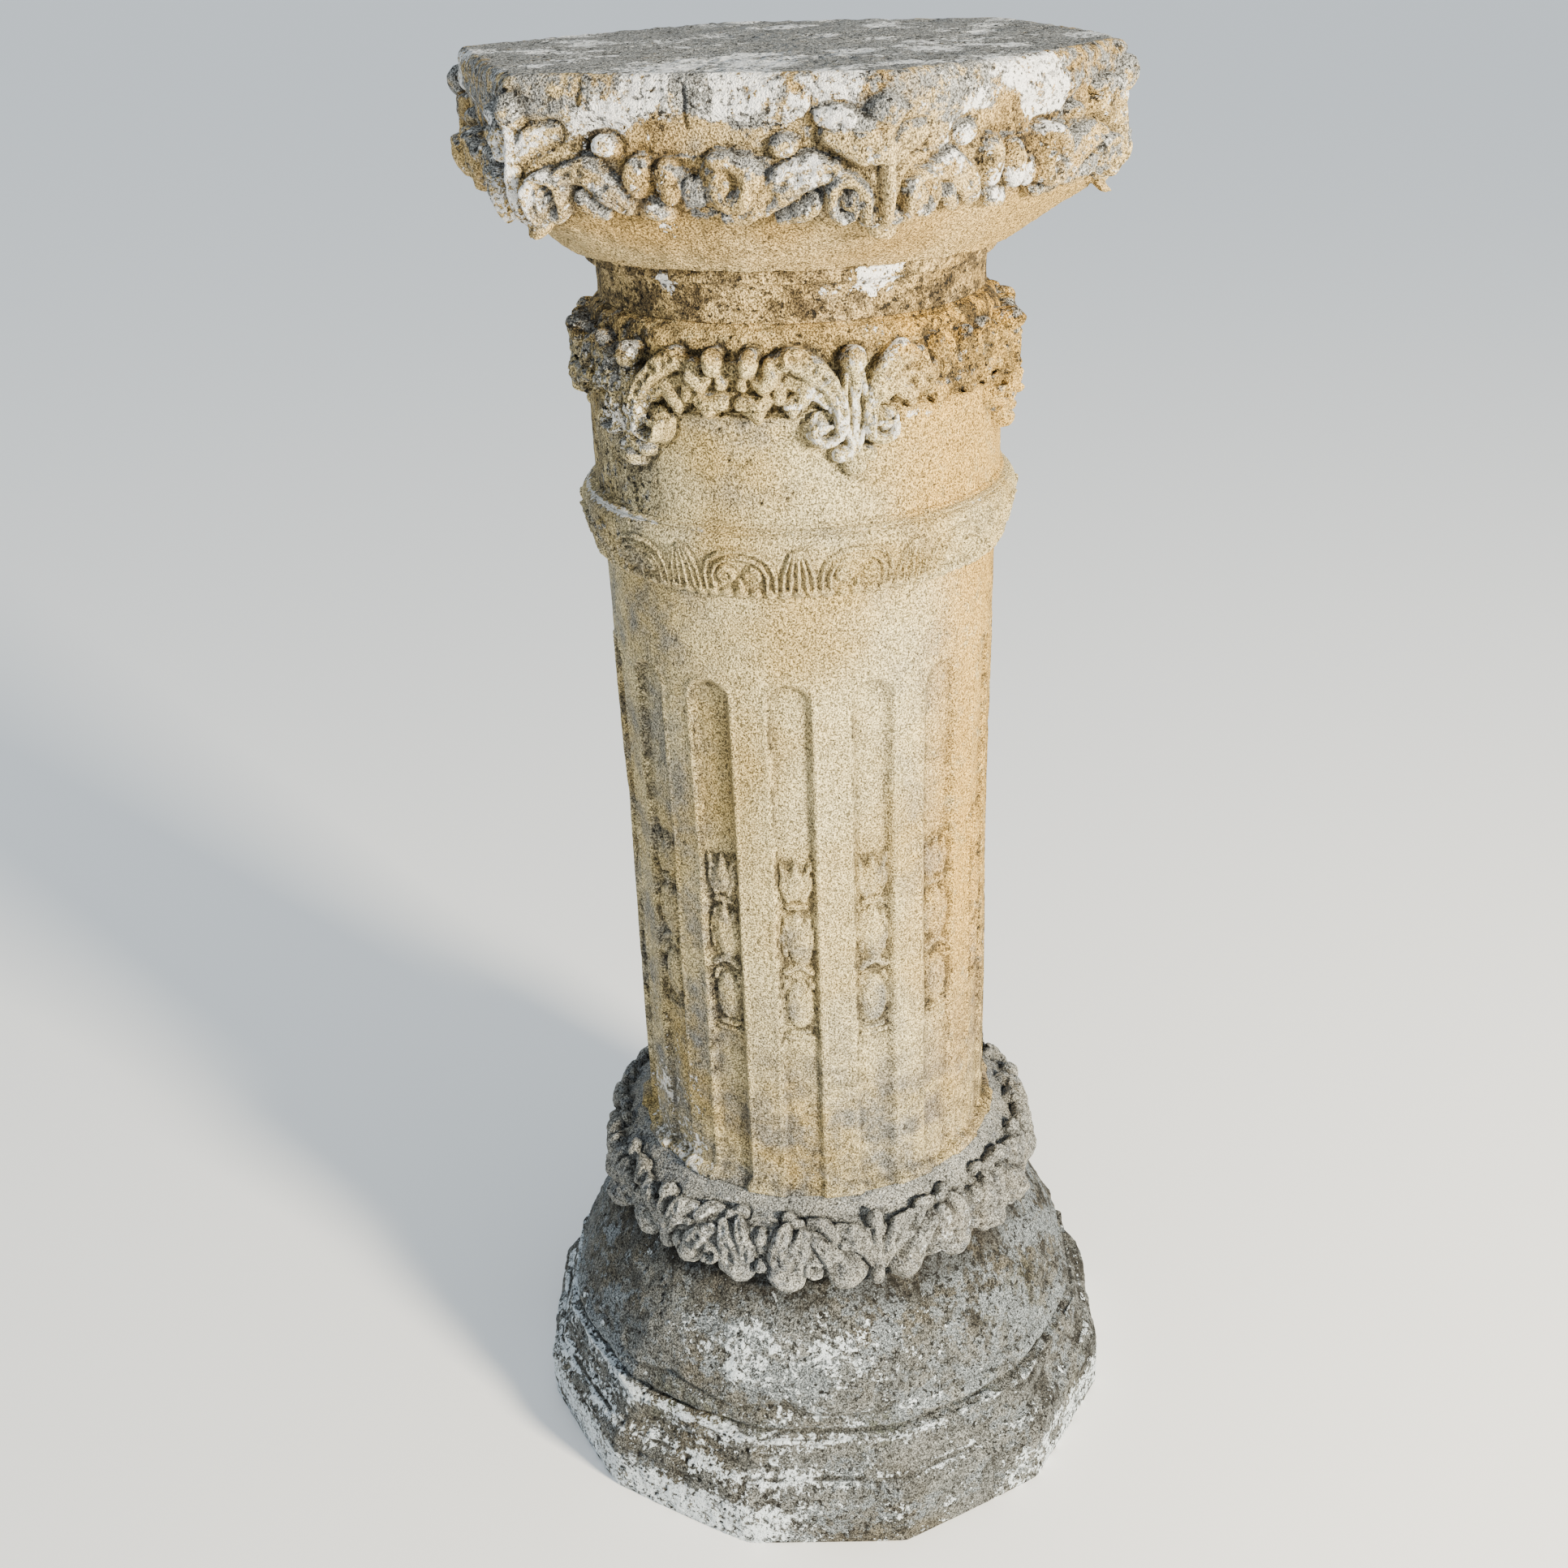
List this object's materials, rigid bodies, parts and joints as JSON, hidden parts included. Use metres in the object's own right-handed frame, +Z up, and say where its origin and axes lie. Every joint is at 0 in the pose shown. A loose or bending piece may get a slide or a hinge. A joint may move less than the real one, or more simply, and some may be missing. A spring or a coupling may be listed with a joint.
{
  "type": "concrete column pedestal",
  "caption": "Tall cast concrete pedestal: stepped many-sided foot, fluted round shaft with carved bands, and a leafy many-sided capital with a flat top.",
  "frame": {"origin": "middle of the foot's underside, on the ground", "axes": "+Z up the column's axis, -Y towards the front of the picture's view, +X to its right"},
  "size_m": [0.445, 0.4452, 0.9953],
  "materials": {
    "foot_concrete": "rough, weathered grey with remains of white paint",
    "shaft_concrete": "rough, sandy ochre",
    "capital_concrete": "rough, sandy ochre with grey lichen on top"
  },
  "bodies": {
    "root": {"foot": "foot_concrete", "shaft": "shaft_concrete", "capital": "capital_concrete"}
  },
  "joints": []
}
